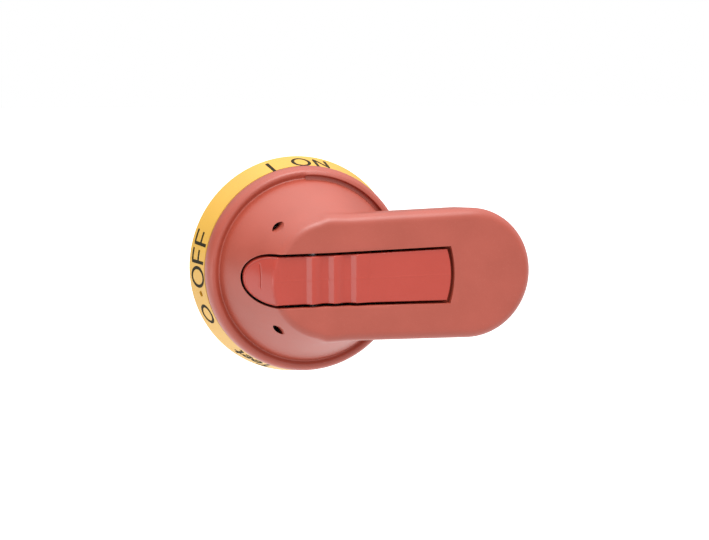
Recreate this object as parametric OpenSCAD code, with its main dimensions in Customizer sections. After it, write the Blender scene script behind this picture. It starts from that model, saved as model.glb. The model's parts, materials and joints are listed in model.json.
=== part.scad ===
// Door-mounted rotary isolator handle with a padlockable pistol grip.
//
// Frame: the origin is the centre of the door face, the user's side is -Y, the grip
// points along +X in the OFF position, and +Z is up. Every part is drawn lying down, with
// x to the right, y up and z as its height above the door, and on_door() stands it up.

/* [Dial base] */
// Outer radius of the dial base where it meets the door
dial_r = 35; // [34:0.5:38]
// Outer radius of the dial base under the handle's skirt
dial_top_r = 32.5; // [31.5:0.1:33]
// Height of the dial base's conical side
dial_h = 10.8; // [10:0.1:11]
// Wall thickness of the dial base
dial_wall = 2.4; // [2:0.1:2.8]
// Distance between the fixing inserts, across and up
insert_spacing = 36; // [35:0.5:38]

/* [Handle] */
// Height of the grip's top face above the door
top_h = 39.7; // [38:0.1:42]
// Radius of the handle's round top, where the grip grows out of it
crown_r = 17.5; // [17:0.1:18]
// Radius at the foot of the handle's cone, above the groove
cone_foot_r = 28.4; // [28:0.1:29]
// Height of the foot of the handle's cone
cone_foot_h = 17; // [16.5:0.1:17.5]
// Wall thickness of the handle shell
shell_wall = 2.3; // [2:0.1:2.6]
// Distance from the turning axis to the tip of the grip
grip_reach = 65.5; // [60:0.5:75]
// Half the width of the grip at its tip
grip_half_w = 20.4; // [19:0.1:21]
// Half the width of the grip at the turning axis
grip_root_half_w = 19.2; // [18:0.1:19.5]
// Thickness of the grip
grip_depth = 18; // [17:0.1:18.5]
// Fillet along the grip's edges
grip_fillet = 2.4; // [1:0.1:3]
// How much narrower the grip's back is than its face, on each side
grip_draft = 1.2; // [0.5:0.1:1.5]

/* [Padlock clasp] */
// Half the width of the slot at the clasp's nose
slot_nose_half_w = 8; // [7.4:0.1:8]
// Half the width of the slot at the clasp's tail
slot_tail_half_w = 8.8; // [8:0.1:9]
// Gap between the clasp and the slot around it
clasp_gap = 0.75; // [0.5:0.05:0.8]
// Length of the window for the padlock's shackle
window_l = 17; // [12:0.5:18]
// Height of the window for the padlock's shackle
window_h = 8.6; // [7:0.1:9]
// How many thumb ribs stand on the clasp
rib_count = 3; // [1:1:3]

/* [Drive] */
// Side of the square operating shaft's socket
shaft_square = 6.1; // [5.1:0.1:8.1]
// Radius of the socket's round lead-in
shaft_lead_r = 4.4; // [4:0.1:5]
// Radius of the drive hub's journal in the dial base
hub_r = 10; // [9.5:0.1:11]
// Radial clearance of running fits
run_gap = 0.05; // [0.03:0.01:0.1]

/* [Hidden] */
$fn = 96;
e = 0.01;

// Levels above the door
web_h = 3.2;
web_t = 3;
deck_h = web_h + web_t;
collar_h = 9;
collar_r = 13.5;
washer_t = 0.8;
flange_h = collar_h + washer_t + run_gap;
flange_r = 15.5;
carrier_h = 14;
carrier_t = 2.5;
carrier_top = carrier_h + carrier_t;
carrier_r = 24;
ceiling_h = top_h - 2.5;
skirt_h = dial_h + 0.3;
hub_back_h = 0.8;
hub_top_h = 20;
hub_neck_r = 9;

// The seals: the flat gasket's groove behind the dial, and the O-ring's groove in the hub
gasket_in_r = 30.4;
gasket_out_r = 33;
gasket_t = 1.9;
gasket_slack = 0.1;
o_ring_h = 5.5;
o_ring_groove_r = 8.8;
o_ring_groove_w = 1.8;
o_ring_r = 0.6;

// The retaining ring in its groove behind the dial
clip_groove_r = 9;
clip_groove_low = 1.5;
clip_groove_w = 1.4;
clip_out_r = 11.6;
clip_t = 1.2;
clip_lug_r = 1.8;
clip_lug_at = 12;
clip_lug_angles = [77, 103];

// Sighting dimple beside the OFF mark
dimple_angle = 192.6;
dimple_h = 6.6;
dimple_at = 33.6;
dimple_r = 1;

// The cone's slope, as the radius lost for each millimetre of height
cone_slope = (cone_foot_r - crown_r) / (top_h - cone_foot_h);
function cone_r(h) = crown_r + (top_h - h) * cone_slope;
wall_across = shell_wall * sqrt(1 + cone_slope * cone_slope);
function cavity_r(h) = cone_r(h) - wall_across;

// The grip
grip_low = top_h - grip_depth;
tip_x = grip_reach - grip_half_w;
cavity_low = grip_low + shell_wall;
cover_t = 1.2;
cover_gap = 0.1;
cover_root_r = 30;

// The lock ring, and the places where the bolt may drop into it
ring_in_r = 17;
ring_out_r = 21.4;
ring_top = 11.8;
ring_screw_at = 19.2;
ring_screw_head_r = 1.9;
ring_screw_sunk = 1.9;
bolt_x = -19;
bolt_r = 2.2;
bolt_rest_h = 12.2;
spring_seat_h = 15;
arm_h = 19.8;
arm_t = 1.5;
lift_x = -13;
lift_top = 29.7;
lock_angles = [90, 180, 270];

// The clasp turns on a pin across the grip
pivot_x = -4;
pivot_h = 33;
pin_r = 1.5;
nose_x = -16;
tail_x = 38.1;
slot_floor = 21;
nose_low = 25.4;
plate_t = 3;
window_x = 17;
window_low = 27.7;
keel_x = 9;
keel_low = 25.3;
keel_end_x = 36.5;
keel_half_w = 4.5;
barrel_r = 3.2;
barrel_w = 7;
foot_r = 1.5;
foot_w = 5;
foot_h = 31.5;
plate_step_x = 12;
tail_bow = 1.4;
tail_bow_angle = 9;
lug_in_y = 8.1;
lug_w = 2.6;
lug_half_l = 3;
coil_y = 5.2;
coil_w = 2.6;
coil_in_r = 1.55;
coil_out_r = 1.95;
leg_l = 6;
leg_w = 0.4;
rib_pitch = 6.9;
rib_x = -6.3;

// The interlock releases stand under the two access slots
release_angle = 132.5;
release_at = 21.2;
release_r = 1.5;
release_head_r = 2.2;
release_low = 13.6;
release_seat_h = 17;
release_head_h = 20.3;
access_l = 4.1;
access_w = 1.8;

// Fixings
insert_at = insert_spacing / 2;
insert_l = 6;
insert_r = 2.8;
insert_neck_r = 2.5;
insert_boss_r = 4.4;
tapped_r = 1.65;
pilot_r = 1.25;
clear_r = 1.6;
boss_angles = [-95, -40, 40, 95];
boss_at = 21;
boss_r = 3.1;
hub_screw_angles = [45, 135, 225, 315];
hub_screw_at = 12.2;
ring_screw_angles = [0, 115, 245];
cover_screw_spots = [[34, 13], [34, -13], [58, 0]];
cover_screw_r = 1;
cover_post_r = 2.6;
cover_inset = 4.2;

module on_door() {
    rotate([90, 0, 0]) children();
}

module around(angles, at) {
    for (a = angles) rotate(a) translate([at, 0, 0]) children();
}

module tube(outer_r, inner_r, low, high) {
    difference() {
        translate([0, 0, low]) cylinder(r = outer_r, h = high - low);
        translate([0, 0, low - 1]) cylinder(r = inner_r, h = high - low + 2);
    }
}

// A pan-head screw with a cross recess, which stands on its head's seat with the shank below
module pan_screw(head_r, head_h, shank_r, shank_l) {
    recess_w = 0.6;
    difference() {
        union() {
            cylinder(r = head_r, h = head_h);
            translate([0, 0, -shank_l]) cylinder(r = shank_r, h = shank_l + e);
        }
        for (a = [0, 90]) rotate(a) translate([-head_r * 0.6, -recess_w / 2, head_h * 0.45])
            cube([head_r * 1.2, recess_w, head_h]);
    }
}

// ---- Stationary parts on the door ----

module dial_base() {
    color("gold") on_door() {
        difference() {
            union() {
                // conical side wall with the gasket rim, the web and the dust lip
                rotate_extrude() polygon([
                    [29.6, 0], [dial_r, 0], [dial_top_r, dial_h], [dial_top_r - dial_wall, dial_h],
                    [29.9, 12.8], [28.5, 12.8], [28.5, deck_h], [hub_r, deck_h], [hub_r, web_h],
                    [29.6, web_h]
                ]);
                // bearing collar for the drive hub
                tube(collar_r, hub_r, web_h, collar_h);
                // bosses for the fixing inserts
                for (x = [-insert_at, insert_at], y = [-insert_at, insert_at])
                    translate([x, y, 0]) cylinder(r = insert_boss_r, h = insert_l + 1.6);
                // stiffening ribs behind the web
                for (a = [0:45:315]) rotate(a)
                    translate([15, -0.8, 0.6]) cube([15, 1.6, web_h]);
            }
            translate([0, 0, -1]) cylinder(r = hub_r + run_gap, h = collar_h + 2);
            for (x = [-insert_at, insert_at], y = [-insert_at, insert_at])
                translate([x, y, -1]) cylinder(r = insert_r, h = insert_l + 1);
            // gasket groove
            tube(gasket_out_r, gasket_in_r, -1, 2);
            around(ring_screw_angles, ring_screw_at) translate([0, 0, web_h - 1])
                cylinder(r = 1.1, h = web_t + 2);
            // the dimple is square to the conical side
            rotate(dimple_angle) translate([dimple_at, 0, dimple_h])
                rotate([0, 90 - atan((dial_r - dial_top_r) / dial_h), 0])
                cylinder(r = dimple_r, h = 3, center = true);
        }
    }
}

module door_gasket() {
    color("dimgray") on_door()
        tube(gasket_out_r - gasket_slack, gasket_in_r + gasket_slack, 0, gasket_t);
}

module mounting_inserts() {
    color("goldenrod") on_door()
        for (x = [-insert_at, insert_at], y = [-insert_at, insert_at]) translate([x, y, 0])
            difference() {
                union() {
                    cylinder(r = insert_neck_r, h = insert_l);
                    // the gripping bands
                    for (h = [0, 2.3, 4.6]) translate([0, 0, h]) cylinder(r = insert_r, h = 1.4);
                }
                translate([0, 0, -1]) cylinder(r = tapped_r, h = insert_l + 2);
            }
}

module lock_ring() {
    color("silver") on_door() difference() {
        tube(ring_out_r, ring_in_r, deck_h, ring_top);
        around(lock_angles, -bolt_x) translate([0, 0, deck_h + 1]) cylinder(r = bolt_r + 0.3, h = 9);
        around(ring_screw_angles, ring_screw_at) {
            translate([0, 0, 5]) cylinder(r = pilot_r, h = 9);
            translate([0, 0, ring_top - ring_screw_sunk])
                cylinder(r = ring_screw_head_r + 0.1, h = 3);
        }
        // the ring is cut away round the fixing bosses
        around([45:90:315], insert_at * sqrt(2)) translate([0, 0, 5])
            cylinder(r = insert_boss_r + 0.2, h = 9);
    }
}

module lock_ring_screws() {
    color("lightsteelblue") on_door() around(ring_screw_angles, ring_screw_at)
        translate([0, 0, ring_top - ring_screw_sunk]) pan_screw(ring_screw_head_r, 1.3, 1.1, 6.2);
}

module thrust_washer() {
    color("ivory") on_door() tube(collar_r - 0.1, hub_r + 0.3, collar_h, collar_h + washer_t);
}

// ---- Handle ----

// Half-section of the handle's round body, or of the cavity inside it
module round_outline() {
    polygon([
        [0, skirt_h], [dial_top_r, skirt_h], [dial_top_r, 12], [32.1, 13.6], [31.3, 15.2],
        [30.5, 16.3], [29.9, 16.6], [29.2, 16.2], [28.7, 16], [28.45, 16.4],
        [cone_foot_r, cone_foot_h], [crown_r, top_h], [0, top_h]
    ]);
}

module round_cavity_outline() {
    polygon([
        [0, skirt_h - 1], [30.3, skirt_h - 1], [30.3, 13.2], [28.2, 13.7], [26.2, 15.6],
        [cavity_r(cone_foot_h), cone_foot_h], [cavity_r(ceiling_h), ceiling_h], [0, ceiling_h]
    ]);
}

// The grip as a bar with a round tip, narrower behind, its long edges cut back by the cut
module grip_bar(half_w, low, high, cut) {
    back_w = half_w - grip_draft;
    side = [
        [back_w - cut * 0.6, low], [back_w, low + cut * 0.6], [half_w, high - cut],
        [half_w - cut * 0.3, high - cut * 0.3], [half_w - cut, high]
    ];
    across = concat(side, [for (i = [len(side) - 1:-1:0]) [-side[i].x, side[i].y]]);
    translate([-e, 0, 0]) rotate([90, 0, 90]) linear_extrude(tip_x + e) polygon(across);
    translate([tip_x, 0, 0]) rotate_extrude() polygon(concat([[0, low]], side, [[0, high]]));
}

// A wedge seen from above, which narrows the grip towards the turning axis
module grip_taper(inset, low, high) {
    root = grip_root_half_w - inset;
    tip = grip_half_w - inset + 0.6;
    translate([0, 0, low]) linear_extrude(high - low)
        polygon([[-1, -root], [grip_reach + 1, -tip], [grip_reach + 1, tip], [-1, root]]);
}

// Outline of the slot in the top face, or of the clasp's plate when inset by the gap: a
// round nose, sides that open towards the tail, and a tail that bows outwards
module slot_outline(inset) {
    nose = slot_nose_half_w - inset;
    tail = slot_tail_half_w - inset;
    bow_r = slot_tail_half_w / sin(tail_bow_angle);
    translate([nose_x, 0]) circle(r = nose + 0.1);
    polygon([
        [nose_x, -nose], [0, -nose], [tail_x - inset, -tail],
        for (a = [-tail_bow_angle:3:tail_bow_angle])
            [tail_x - inset + tail_bow - bow_r * (1 - cos(a)), tail * sin(a) / sin(tail_bow_angle)],
        [tail_x - inset, tail], [0, nose], [nose_x, nose]
    ]);
}

module access_slots(low, high) {
    for (a = [-release_angle, release_angle]) rotate(a) translate([release_at, 0, low])
        linear_extrude(high - low) {
            square([access_w, access_l - access_w], center = true);
            for (s = [-1, 1]) translate([0, s * (access_l - access_w) / 2]) circle(r = access_w / 2);
        }
}

module cover_opening(inset, low, high) {
    difference() {
        translate([0, 0, low]) linear_extrude(high - low) {
            w = grip_half_w - cover_inset - inset;
            translate([tip_x, 0]) circle(r = w);
            polygon([[0, -w + 0.9], [tip_x, -w], [tip_x, w], [0, w - 0.9]]);
        }
        translate([0, 0, low - 1]) cylinder(r = cover_root_r + inset, h = high - low + 2);
    }
}

module handle_shell() {
    color("indianred") on_door() difference() {
        union() {
            difference() {
                union() {
                    rotate_extrude() round_outline();
                    intersection() {
                        grip_bar(grip_half_w, grip_low, top_h, grip_fillet);
                        grip_taper(0, grip_low - 1, top_h + 1);
                    }
                }
                rotate_extrude() round_cavity_outline();
                intersection() {
                    grip_bar(grip_half_w - shell_wall, cavity_low, ceiling_h, 1);
                    grip_taper(shell_wall, cavity_low - 1, ceiling_h + 1);
                }
                translate([0, 0, slot_floor]) linear_extrude(20) slot_outline(0);
                access_slots(20, 40);
            }
            // bosses that carry the mechanism
            intersection() {
                around(boss_angles, boss_at) translate([0, 0, carrier_top])
                    cylinder(r = boss_r, h = ceiling_h - carrier_top + 1);
                rotate_extrude() polygon([
                    [0, 12], [cone_r(12) - 1, 12], [cone_r(top_h) - 1, top_h - 1], [0, top_h - 1]
                ]);
            }
            // lugs for the clasp's pin
            for (s = [-1, 1])
                translate([pivot_x - lug_half_l, s * (lug_in_y + lug_w / 2) - lug_w / 2,
                           pivot_h - lug_half_l])
                cube([2 * lug_half_l, lug_w, ceiling_h - pivot_h + lug_half_l + 0.5]);
            // posts for the back cover's screws
            for (p = cover_screw_spots) translate([p.x, p.y, cavity_low])
                cylinder(r = cover_post_r, h = ceiling_h - cavity_low + 0.5);
        }
        around(boss_angles, boss_at) translate([0, 0, carrier_top - 1]) cylinder(r = pilot_r, h = 8);
        translate([pivot_x, 0, pivot_h]) rotate([90, 0, 0])
            cylinder(r = pin_r + 0.02, h = 24, center = true);
        for (p = cover_screw_spots) translate([p.x, p.y, cavity_low - 3])
            cylinder(r = cover_screw_r, h = 11);
        // rebate and opening for the back cover
        cover_opening(0, grip_low - 1, grip_low + cover_t);
    }
}

module carrier_plate() {
    color("slategray") on_door() difference() {
        union() {
            tube(carrier_r, hub_neck_r + run_gap, carrier_h, carrier_top);
            // guides for the bolt and the two interlock releases
            translate([bolt_x, 0, carrier_h - 1]) cylinder(r = 3.2, h = 1 + e);
            around([-release_angle, release_angle], release_at)
                translate([0, 0, carrier_h]) cylinder(r = 2.4, h = release_seat_h - carrier_h);
        }
        translate([bolt_x, 0, 5]) cylinder(r = bolt_r + run_gap, h = 20);
        translate([bolt_x, 0, spring_seat_h]) cylinder(r = 3.5, h = 5);
        around([-release_angle, release_angle], release_at) translate([0, 0, 5])
            cylinder(r = release_r + run_gap, h = 20);
        around(boss_angles, boss_at) translate([0, 0, 5]) cylinder(r = clear_r, h = 20);
        around(hub_screw_angles, hub_screw_at) translate([0, 0, 5]) cylinder(r = clear_r, h = 20);
        // lightening holes
        around([0, 160, 200], 16.5) translate([0, 0, 5]) cylinder(r = 1.4, h = 20);
    }
}

module carrier_screws() {
    color("lightsteelblue") on_door() around(boss_angles, boss_at)
        translate([0, 0, carrier_h]) mirror([0, 0, 1]) pan_screw(2.7, 1.5, pilot_r, carrier_t + 6);
}

module drive_hub() {
    color("darkslategray") on_door() difference() {
        union() {
            translate([0, 0, hub_back_h]) cylinder(r = hub_r, h = flange_h - hub_back_h + e);
            translate([0, 0, flange_h]) cylinder(r = flange_r, h = carrier_h - flange_h);
            translate([0, 0, carrier_h - e]) cylinder(r = hub_neck_r, h = hub_top_h - carrier_h);
        }
        translate([0, 0, hub_back_h - 1]) cylinder(r = shaft_lead_r, h = 7);
        translate([-shaft_square / 2, -shaft_square / 2, 1])
            cube([shaft_square, shaft_square, 17]);
        // grooves for the retaining ring and the seal
        tube(hub_r + 1, clip_groove_r, clip_groove_low, clip_groove_low + clip_groove_w);
        tube(hub_r + 1, o_ring_groove_r, o_ring_h - o_ring_groove_w / 2,
             o_ring_h + o_ring_groove_w / 2);
        around(hub_screw_angles, hub_screw_at) translate([0, 0, carrier_h - 3.4])
            cylinder(r = pilot_r, h = 9);
    }
}

module hub_screws() {
    color("lightsteelblue") on_door() around(hub_screw_angles, hub_screw_at)
        translate([0, 0, carrier_top]) pan_screw(2.6, 1.6, pilot_r, carrier_t + 3);
}

module hub_o_ring() {
    color("black") on_door() translate([0, 0, o_ring_h]) rotate_extrude()
        translate([o_ring_groove_r + o_ring_r + 0.03, 0]) circle(r = o_ring_r, $fn = 32);
}

module retaining_ring() {
    low = clip_groove_low + 0.1;
    color("gray") on_door() difference() {
        union() {
            tube(clip_out_r, clip_groove_r + run_gap, low, low + clip_t);
            around(clip_lug_angles, clip_lug_at) translate([0, 0, low])
                cylinder(r = clip_lug_r, h = clip_t);
        }
        // the gap that lets it open, and the holes for the pliers
        translate([-1, 0, low - 1]) cube([2, 20, clip_t + 2]);
        around(clip_lug_angles, clip_lug_at) translate([0, 0, low - 1])
            cylinder(r = 0.8, h = clip_t + 2);
    }
}

module grip_back_cover() {
    color("firebrick") on_door() difference() {
        cover_opening(cover_gap, grip_low, grip_low + cover_t);
        for (p = cover_screw_spots) translate([p.x, p.y, grip_low - 1]) {
            cylinder(r = cover_screw_r + 0.2, h = 4);
            cylinder(r = 2.2, h = 1.5);
        }
    }
}

module cover_screws() {
    color("lightsteelblue") on_door() for (p = cover_screw_spots)
        translate([p.x, p.y, grip_low + 0.5]) mirror([0, 0, 1]) pan_screw(2.1, 0.5, cover_screw_r, 8);
}

// ---- Padlock clasp and its bolt ----

module clasp_pivot_pin() {
    color("silver") on_door() translate([pivot_x, 0, pivot_h]) rotate([90, 0, 0])
        cylinder(r = pin_r, h = 21.2, center = true);
}

// The clasp's return spring: two coils round the pin, each with a leg under the clasp
module clasp_spring() {
    color("gray") on_door() for (s = [-1, 1]) translate([pivot_x, s * coil_y, pivot_h]) {
        rotate([90, 0, 0]) difference() {
            cylinder(r = coil_out_r, h = coil_w, center = true);
            cylinder(r = coil_in_r, h = coil_w + 1, center = true);
        }
        translate([1.7, s * 0.9 - leg_w / 2, -leg_w / 2]) cube([leg_l, leg_w, leg_w]);
    }
}

// The clasp seen from the side: the nose on the cone, the finger scoop, the thumb ribs and
// the flat tail
module clasp_side() {
    face = top_h - 0.2;
    polygon(concat(
        [[-26, cone_foot_h + 4], [-cone_r(25.5) + 0.05, 25.5], [-crown_r, face]],
        [[-16.6, face - 0.2], [-15, face - 1.2], [-8, face - 2.2]],
        [for (i = [0:rib_count - 1], k = [0:2])
            [rib_x + i * rib_pitch + [0, 1.4, 5.4][k], face + [0, 0, -1.7][k]]],
        [[13, face], [45, face], [45, window_low - 10], [-26, window_low - 10]]
    ));
}

// What is cut away below the plate, which is thicker behind the ribs than at the tail
module clasp_underside() {
    floor_h = top_h - 0.2 - plate_t;
    polygon([
        [-30, 10], [-cavity_r(20), 20], [-cone_r(24) + 2.8, 24], [-15.2, floor_h - 1.5],
        [plate_step_x, floor_h - 1.5], [plate_step_x, floor_h], [45, floor_h], [45, 10]
    ]);
}

module padlock_clasp() {
    color("crimson") on_door() difference() {
        union() {
            // the plate, shaped from the side and cut to the slot's outline
            intersection() {
                translate([0, 0, nose_low]) linear_extrude(20) slot_outline(clasp_gap);
                rotate([90, 0, 0]) linear_extrude(20, center = true) difference() {
                    clasp_side();
                    clasp_underside();
                }
                // the nose lies on the handle's cone
                rotate_extrude() polygon([
                    [0, 20], [cone_r(20), 20], [crown_r, top_h], [60, top_h + 0.1], [0, top_h + 0.1]
                ]);
            }
            clasp_tail();
            // barrel on the pin
            translate([pivot_x, 0, pivot_h]) rotate([90, 0, 0])
                cylinder(r = barrel_r, h = barrel_w, center = true);
            translate([pivot_x - barrel_r * 0.75, -barrel_w / 2, pivot_h])
                cube([barrel_r * 1.5, barrel_w, barrel_r]);
            // foot that pushes the bolt
            translate([lift_x - foot_r, -foot_w / 2, foot_h]) cube([2 * foot_r, foot_w, 4]);
            translate([lift_x, 0, foot_h]) rotate([90, 0, 0])
                cylinder(r = foot_r, h = foot_w, center = true);
        }
        translate([pivot_x, 0, pivot_h]) rotate([90, 0, 0])
            cylinder(r = pin_r + run_gap, h = 20, center = true);
        translate([window_x, -10, window_low]) cube([window_l, 20, window_h]);
    }
}

// The tail's plate and the keel that holds the shackle window
module clasp_tail() {
    face = top_h - 0.2;
    intersection() {
        translate([0, 0, face - plate_t]) linear_extrude(plate_t) slot_outline(clasp_gap);
        translate([plate_step_x, -20, 20]) cube([40, 40, 30]);
    }
    translate([keel_x, -keel_half_w, keel_low])
        cube([keel_end_x - keel_x, 2 * keel_half_w, face - keel_low - 1]);
}

module lock_bolt() {
    color("silver") on_door() {
        translate([bolt_x, 0, bolt_rest_h]) cylinder(r = bolt_r, h = arm_h - bolt_rest_h + e);
        translate([bolt_x - bolt_r, -bolt_r, arm_h]) cube([lift_x - bolt_x + 4.2, 2 * bolt_r, arm_t]);
        translate([lift_x, 0, arm_h]) cylinder(r = 2, h = lift_top - arm_h);
    }
}

module lock_bolt_spring() {
    color("gray") on_door() translate([bolt_x, 0, 0]) tube(3.3, 2.5, spring_seat_h, arm_h);
}

// ---- Interlock releases ----

module interlock_release() {
    translate([0, 0, release_low]) cylinder(r = release_r, h = release_head_h - release_low + e);
    translate([0, 0, release_head_h]) cylinder(r = release_head_r, h = 1.2);
}

module interlock_release_upper() {
    color("silver") on_door() rotate(release_angle) translate([release_at, 0, 0])
        interlock_release();
}

module interlock_release_lower() {
    color("silver") on_door() rotate(-release_angle) translate([release_at, 0, 0])
        interlock_release();
}

module release_spring() {
    tube(release_head_r, release_r + 0.25, release_seat_h, release_head_h);
}

module release_spring_upper() {
    color("gray") on_door() rotate(release_angle) translate([release_at, 0, 0]) release_spring();
}

module release_spring_lower() {
    color("gray") on_door() rotate(-release_angle) translate([release_at, 0, 0]) release_spring();
}

dial_base();
door_gasket();
mounting_inserts();
lock_ring();
lock_ring_screws();
thrust_washer();
handle_shell();
carrier_plate();
carrier_screws();
drive_hub();
hub_screws();
hub_o_ring();
retaining_ring();
grip_back_cover();
cover_screws();
clasp_pivot_pin();
clasp_spring();
padlock_clasp();
lock_bolt();
lock_bolt_spring();
interlock_release_upper();
interlock_release_lower();
release_spring_upper();
release_spring_lower();
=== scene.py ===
import json
import math

import bmesh
import bpy
import numpy as np
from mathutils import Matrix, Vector


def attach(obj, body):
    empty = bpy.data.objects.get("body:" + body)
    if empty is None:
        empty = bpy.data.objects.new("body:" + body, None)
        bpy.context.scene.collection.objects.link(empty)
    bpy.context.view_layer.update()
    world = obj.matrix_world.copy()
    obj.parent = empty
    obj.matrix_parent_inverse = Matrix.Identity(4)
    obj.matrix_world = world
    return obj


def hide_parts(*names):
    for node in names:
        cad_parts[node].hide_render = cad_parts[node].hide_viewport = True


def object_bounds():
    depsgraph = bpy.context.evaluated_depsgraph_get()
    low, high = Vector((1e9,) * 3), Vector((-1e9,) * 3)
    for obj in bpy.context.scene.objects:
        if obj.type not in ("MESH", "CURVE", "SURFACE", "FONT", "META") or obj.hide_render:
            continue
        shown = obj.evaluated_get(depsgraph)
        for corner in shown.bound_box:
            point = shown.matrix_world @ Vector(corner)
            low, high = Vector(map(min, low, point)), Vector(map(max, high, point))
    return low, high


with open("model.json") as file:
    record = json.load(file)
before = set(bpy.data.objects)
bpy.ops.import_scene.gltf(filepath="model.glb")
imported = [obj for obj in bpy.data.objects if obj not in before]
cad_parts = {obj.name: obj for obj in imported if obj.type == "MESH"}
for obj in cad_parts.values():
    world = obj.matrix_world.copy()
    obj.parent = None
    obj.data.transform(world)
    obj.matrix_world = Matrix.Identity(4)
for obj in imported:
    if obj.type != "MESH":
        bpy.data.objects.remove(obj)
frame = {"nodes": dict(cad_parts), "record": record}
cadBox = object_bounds()
mm = 0.001


# Shapes are drawn lying on the door in mm: x right, y up, h height above the door.

def toFrame(x, y, h):
    # plan position and height in mm, to metres in the row frame
    x, y, h = np.broadcast_arrays(x, y, h)
    return np.stack([x, -h, y], axis=-1) * mm


def addMesh(name, points, faces, creaseDegrees=35):
    mesh = bpy.data.meshes.new(name)
    mesh.from_pydata(points.reshape(-1, 3).tolist(), [], faces.reshape(-1, faces.shape[-1]).tolist())
    mesh.update()
    piece = bpy.data.objects.new(name, mesh)
    bpy.context.scene.collection.objects.link(piece)
    tidyMesh(piece, creaseDegrees)
    return piece


def tidyMesh(piece, creaseDegrees):
    # welds coincident points, turns the faces outwards and keeps only true creases sharp
    work = bmesh.new()
    work.from_mesh(piece.data)
    bmesh.ops.remove_doubles(work, verts=work.verts, dist=2e-6)
    bmesh.ops.dissolve_degenerate(work, edges=work.edges, dist=1e-6)
    bmesh.ops.recalc_face_normals(work, faces=work.faces)
    work.to_mesh(piece.data)
    work.free()
    piece.data.shade_smooth()
    piece.data.set_sharp_from_angle(angle=math.radians(creaseDegrees))


def gridFaces(rows, columns, closeRows, closeColumns):
    # quads of a grid of points, whose last row or column may join the first
    r = np.arange(rows if closeRows else rows - 1)[:, None]
    c = np.arange(columns if closeColumns else columns - 1)[None, :]
    r2, c2 = (r + 1) % rows, (c + 1) % columns
    return np.stack([r * columns + c, r * columns + c2, r2 * columns + c2, r2 * columns + c], axis=-1)


def gridPiece(name, points, closeRows=False, closeColumns=True, creaseDegrees=35):
    faces = gridFaces(points.shape[0], points.shape[1], closeRows, closeColumns)
    return addMesh(name, points, faces.reshape(-1, 4), creaseDegrees)


def joinPieces(name, pieces):
    for piece in bpy.context.selected_objects:
        piece.select_set(False)
    for piece in pieces:
        piece.select_set(True)
    bpy.context.view_layer.objects.active = pieces[0]
    bpy.ops.object.join()
    joined = bpy.context.view_layer.objects.active
    joined.name = name
    joined.data.name = name
    return joined


def blockPiece(name, low, high):
    # a box between two corners, as a grid of one closed ring with collapsed ends
    (x0, y0, h0), (x1, y1, h1) = low, high
    xs = np.array([x0, x1, x1, x0])
    ys = np.array([y0, y0, y1, y1])
    mid = ((x0 + x1) / 2, (y0 + y1) / 2)
    rings = [toFrame(mid[0] + 0 * xs, mid[1] + 0 * ys, h0 + 0 * xs), toFrame(xs, ys, h0 + 0 * xs),
             toFrame(xs, ys, h1 + 0 * xs), toFrame(mid[0] + 0 * xs, mid[1] + 0 * ys, h1 + 0 * xs)]
    return gridPiece(name, np.stack(rings), False, True)


def tubeAlong(name, path, radius, sides=10):
    # a round section carried along a path, square to the path's tangent, with closed ends
    tangent = np.gradient(path, axis=0)
    tangent /= np.linalg.norm(tangent, axis=1, keepdims=True)
    up = np.array([0.31, 0.95, 0.07])   # a direction that none of the paths follows
    side = np.cross(tangent, up)
    side /= np.linalg.norm(side, axis=1, keepdims=True)
    other = np.cross(side, tangent)
    angle = np.linspace(0, 2 * np.pi, sides, endpoint=False)
    ring = side[:, None] * np.cos(angle)[None, :, None] + other[:, None] * np.sin(angle)[None, :, None]
    points = path[:, None] + ring * radius
    ends = [np.repeat(path[:1, None], sides, axis=1), np.repeat(path[-1:, None], sides, axis=1)]
    return gridPiece(name, np.concatenate([ends[0], points, ends[1]]))


def smoothMax(a, b, width):
    # the larger of two values, with a round transition of the given width
    near = np.maximum(width - np.abs(a - b), 0) / width
    return np.maximum(a, b) + near * near * width / 4


def smoothStep(t):
    t = np.clip(t, 0, 1)
    return t * t * (3 - 2 * t)


def curveThrough(points, count):
    # Catmull-Rom curve through the points, sampled evenly in its own parameter
    p = np.array(points, float)
    p = np.vstack([2 * p[0] - p[1], p, 2 * p[-1] - p[-2]])
    t = np.linspace(0, len(p) - 3, count)
    i = np.minimum(t.astype(int), len(p) - 4)
    f = (t - i)[:, None]
    a, b, c, d = p[i], p[i + 1], p[i + 2], p[i + 3]
    cubic = (3 * b - a - 3 * c + d) * f ** 3
    return 0.5 * (2 * b + (c - a) * f + (2 * a - 5 * b + 4 * c - d) * f ** 2 + cubic)


class Wire:
    # a shader socket that can be added, multiplied and divided like a number
    def __init__(self, tree, socket=None):
        self.tree = tree
        self.socket = socket

    def node(self, kind, settings=None, sockets=None, out=0):
        made = self.tree.nodes.new(kind)
        for key, value in (settings or {}).items():
            setattr(made, key, value)
        for key, value in (sockets or {}).items():
            if isinstance(value, Wire):
                self.tree.links.new(value.socket, made.inputs[key])
            else:
                made.inputs[key].default_value = value
        return Wire(self.tree, made.outputs[out])

    def math(self, operation, *values):
        return self.node("ShaderNodeMath", {"operation": operation}, dict(enumerate(values)))

    def __add__(self, other):
        return self.math("ADD", self, other)

    def __radd__(self, other):
        return self.math("ADD", other, self)

    def __sub__(self, other):
        return self.math("SUBTRACT", self, other)

    def __rsub__(self, other):
        return self.math("SUBTRACT", other, self)

    def __mul__(self, other):
        return self.math("MULTIPLY", self, other)

    def __truediv__(self, other):
        return self.math("DIVIDE", self, other)

    def clipped(self):
        return self.math("MINIMUM", self.math("MAXIMUM", self, 0.0), 1.0)

    def feeds(self, name):
        shader = self.tree.nodes["Principled BSDF"]
        self.tree.links.new(self.socket, shader.inputs[name])


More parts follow.
